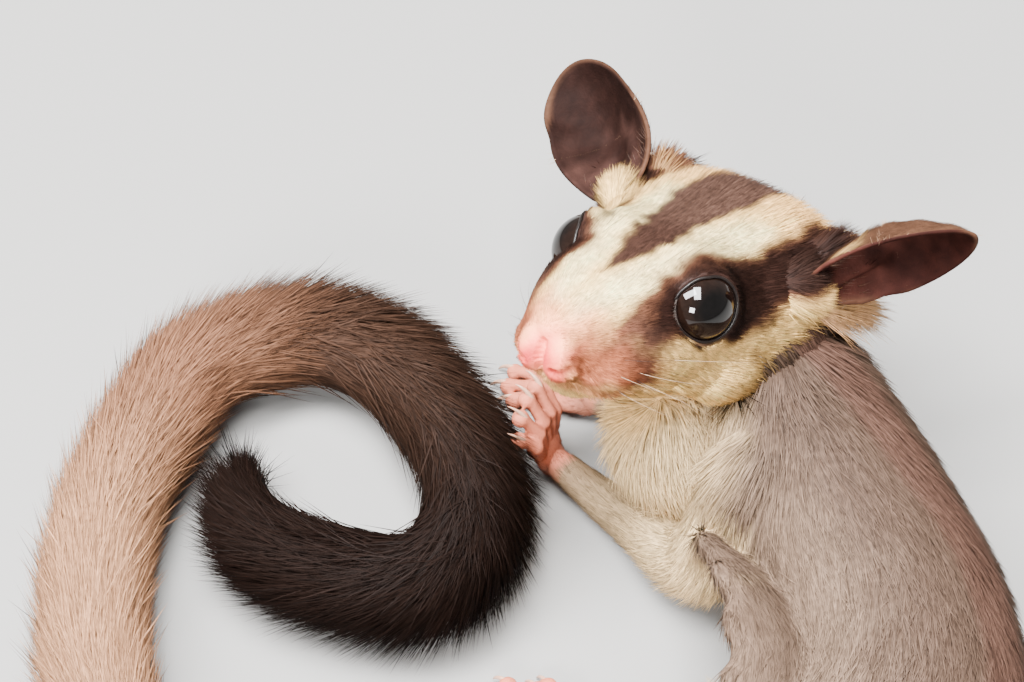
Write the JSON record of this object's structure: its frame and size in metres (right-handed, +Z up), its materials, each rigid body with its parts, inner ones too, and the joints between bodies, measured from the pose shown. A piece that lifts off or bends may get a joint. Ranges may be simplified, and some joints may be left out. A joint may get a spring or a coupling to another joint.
{
  "type": "sugar glider",
  "caption": "Life-size still model of a sugar glider curled on the floor, head raised, tail looped in front, one hand against the tail.",
  "frame": {"origin": "centre of the bounding box's underside, on the floor that the animal rests on", "axes": "+Z up. The nose points towards -X and -Y, upwards; the back of the trunk faces +X"},
  "size_m": [0.1142, 0.1238, 0.0462],
  "materials": {
    "fur_back": "short dense grey-brown fur",
    "fur_face": "short cream fur with dark brown stripe and eye rings",
    "fur_tail": "bushy brown fur, nearly black to the tip",
    "skin": "soft pink skin",
    "ear": "thin dark skin",
    "eye": "wet black"
  },
  "bodies": {
    "root": {"head": "fur_face", "eye_l": "eye", "eye_r": "eye", "ear_l": "ear", "ear_r": "ear", "neck": "fur_back", "chest": "fur_back", "belly": "fur_back", "rump": "fur_back", "upper_arm_l": "fur_back", "upper_arm_r": "fur_back", "forearm_l": "fur_back", "forearm_r": "fur_back", "hand_l": "skin", "hand_r": "skin", "thigh_l": "fur_back", "thigh_r": "fur_back", "shank_l": "fur_back", "shank_r": "fur_back", "foot_l": "skin", "foot_r": "skin", "membrane_l": "fur_back", "membrane_r": "fur_back", "tail_1": "fur_tail", "tail_2": "fur_tail", "tail_3": "fur_tail", "tail_4": "fur_tail", "tail_5": "fur_tail"}
  },
  "joints": []
}
